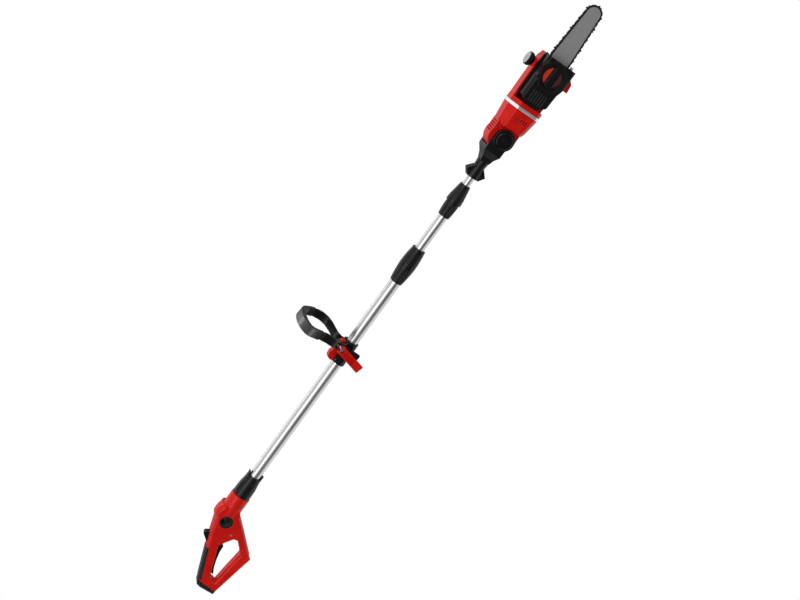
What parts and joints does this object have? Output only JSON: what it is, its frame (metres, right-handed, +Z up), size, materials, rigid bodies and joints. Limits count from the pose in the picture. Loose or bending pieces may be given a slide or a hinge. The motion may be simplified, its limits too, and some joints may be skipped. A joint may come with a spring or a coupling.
{
  "type": "telescoping pole saw",
  "caption": "Cordless pole saw: a D-handle, a telescoping tube pole with twist locks and a sliding loop grip, and a tilting motor head driving a short chain on a guide bar.",
  "frame": {"origin": "centre of the strap eye's bore in the handle hub, on the pole axis", "axes": "+X along the pole from the handle to the saw head, +Z up on the side of the lock-off button, -Y towards the side with the guide bar cover"},
  "size_m": [1.9863, 0.1738, 0.3045],
  "materials": {
    "red_plastic": "gloss",
    "black_plastic": "satin",
    "soft_rubber": "matte",
    "grip_sleeve": "satin",
    "pole_aluminium": "brushed",
    "trim_silver": "satin",
    "bright_steel": "machined",
    "gear_steel": "machined",
    "bar_steel": "satin",
    "chain_steel": "blued",
    "winding_copper": "lacquered",
    "contact_brass": "bright",
    "board_green": "satin",
    "nylon_white": "satin"
  },
  "bodies": {
    "handle": {"handle_shell_right": "red_plastic", "handle_shell_left": "red_plastic", "handle_screws": "bright_steel", "grip_pad": "soft_rubber", "butt_cap": "black_plastic", "pole_collar": "black_plastic", "strap_eyelet": "soft_rubber", "battery_rail": "black_plastic", "battery_contacts": "contact_brass", "switch_module": "black_plastic", "control_board": "board_green", "trigger_pin": "bright_steel", "trigger_spring": "bright_steel", "lower_tube": "pole_aluminium", "lower_lock_body": "black_plastic", "lower_lock_collet": "nylon_white"},
    "trigger": {"trigger": "black_plastic"},
    "lock_off": {"lock_off_button": "black_plastic"},
    "grip_clamp": {"clamp_upper": "black_plastic", "clamp_lower": "black_plastic", "clamp_block": "red_plastic", "clamp_screws": "bright_steel"},
    "loop": {"loop_handle": "black_plastic", "loop_grip": "grip_sleeve", "loop_bolt": "bright_steel"},
    "clamp_lever": {"clamp_lever": "red_plastic"},
    "lower_nut": {"lower_lock_nut": "black_plastic"},
    "middle": {"middle_tube": "pole_aluminium", "middle_bush": "nylon_white", "upper_lock_body": "black_plastic", "upper_lock_collet": "nylon_white"},
    "upper_nut": {"upper_lock_nut": "black_plastic"},
    "upper": {"upper_tube": "pole_aluminium", "upper_bush": "nylon_white", "head_fork": "black_plastic", "pivot_pin": "bright_steel"},
    "pivot_button": {"pivot_button": "black_plastic"},
    "head": {"motor_housing_right": "red_plastic", "motor_housing_left": "red_plastic", "trim_band": "trim_silver", "motor_can": "bright_steel", "gear_housing": "red_plastic", "bar_plate": "black_plastic", "shaft_bearings": "bright_steel", "housing_screws": "bright_steel", "guide_bar": "bar_steel", "saw_chain": "chain_steel", "chain_cover": "black_plastic", "bumper_spikes": "bar_steel", "bar_stud": "bright_steel"},
    "cover_knob": {"cover_knob": "black_plastic"},
    "tension_ring": {"tension_ring": "black_plastic"},
    "oil_cap": {"oil_cap": "black_plastic"},
    "rotor": {"rotor": "winding_copper", "cooling_fan": "black_plastic", "bevel_pinion": "gear_steel"},
    "drive": {"bevel_gear": "gear_steel", "drive_shaft": "bright_steel", "drive_sprocket": "gear_steel"},
    "nose": {"nose_sprocket": "gear_steel"}
  },
  "joints": [
    {"name": "trigger_pull", "type": "hinge", "parent": "handle", "child": "trigger", "pos_m": [-0.165, 0, -0.0535], "axis": [0, -1, 0], "range_deg": [0, 5.5], "stiffness_Nm_per_rad": 4, "springref_deg": -1.72},
    {"name": "lock_off_slide", "type": "slide", "parent": "handle", "child": "lock_off", "axis": [0.9361, 0, 0.3518], "range_m": [0, 0.006], "stiffness_N_per_m": 400, "springref_m": -0.002},
    {"name": "grip_slide", "type": "slide", "parent": "handle", "child": "grip_clamp", "axis": [1, 0, 0], "range_m": [-0.38, 0.2]},
    {"name": "loop_tilt", "type": "hinge", "parent": "grip_clamp", "child": "loop", "pos_m": [0.622, 0, 0.028], "axis": [0, 1, 0], "range_deg": [-45, 45]},
    {"name": "lever_swing", "type": "hinge", "parent": "loop", "child": "clamp_lever", "pos_m": [0.622, -0.047, 0.028], "axis": [-0.9537, 0, 0.3007], "range_deg": [0, 100]},
    {"name": "lower_nut_turn", "type": "hinge", "parent": "handle", "child": "lower_nut", "pos_m": [0.93, 0, 0], "axis": [1, 0, 0], "range_deg": [0, 90]},
    {"name": "middle_slide", "type": "slide", "parent": "handle", "child": "middle", "axis": [1, 0, 0], "range_m": [-0.108, 0.36]},
    {"name": "upper_nut_turn", "type": "hinge", "parent": "middle", "child": "upper_nut", "pos_m": [1.15, 0, 0], "axis": [1, 0, 0], "range_deg": [0, 90]},
    {"name": "upper_slide", "type": "slide", "parent": "middle", "child": "upper", "axis": [1, 0, 0], "range_m": [-0.024, 0.36]},
    {"name": "pivot_button_press", "type": "slide", "parent": "upper", "child": "pivot_button", "axis": [0, 1, 0], "range_m": [0, 0.004], "stiffness_N_per_m": 800, "springref_m": -0.001},
    {"name": "head_tilt", "type": "hinge", "parent": "upper", "child": "head", "pos_m": [1.336, 0, 0], "axis": [0, -1, 0], "range_deg": [-30, 60]},
    {"name": "knob_turn", "type": "hinge", "parent": "head", "child": "cover_knob", "pos_m": [1.54, -0.05, 0], "axis": [0, 1, 0], "range_deg": [0, 720]},
    {"name": "tension_ring_turn", "type": "hinge", "parent": "head", "child": "tension_ring", "pos_m": [1.54, -0.05, 0], "axis": [0, 1, 0], "range_deg": [0, 270]},
    {"name": "oil_cap_turn", "type": "hinge", "parent": "head", "child": "oil_cap", "pos_m": [1.545, -0.002, 0.06], "axis": [0, 0, 1], "range_deg": [0, 540]},
    {"name": "rotor_spin", "type": "hinge", "parent": "head", "child": "rotor", "pos_m": [1.4, 0, 0], "axis": [1, 0, 0], "continuous": true},
    {"name": "drive_spin", "type": "hinge", "parent": "head", "child": "drive", "pos_m": [1.474, 0, 0], "axis": [0, 1, 0], "continuous": true},
    {"name": "nose_spin", "type": "hinge", "parent": "head", "child": "nose", "pos_m": [1.729, -0.022, 0], "axis": [0, 1, 0], "continuous": true}
  ],
  "couplings": [
    {"joint": "drive_spin", "follows": "rotor_spin", "ratio": 0.33333},
    {"joint": "nose_spin", "follows": "rotor_spin", "ratio": 0.25926}
  ]
}
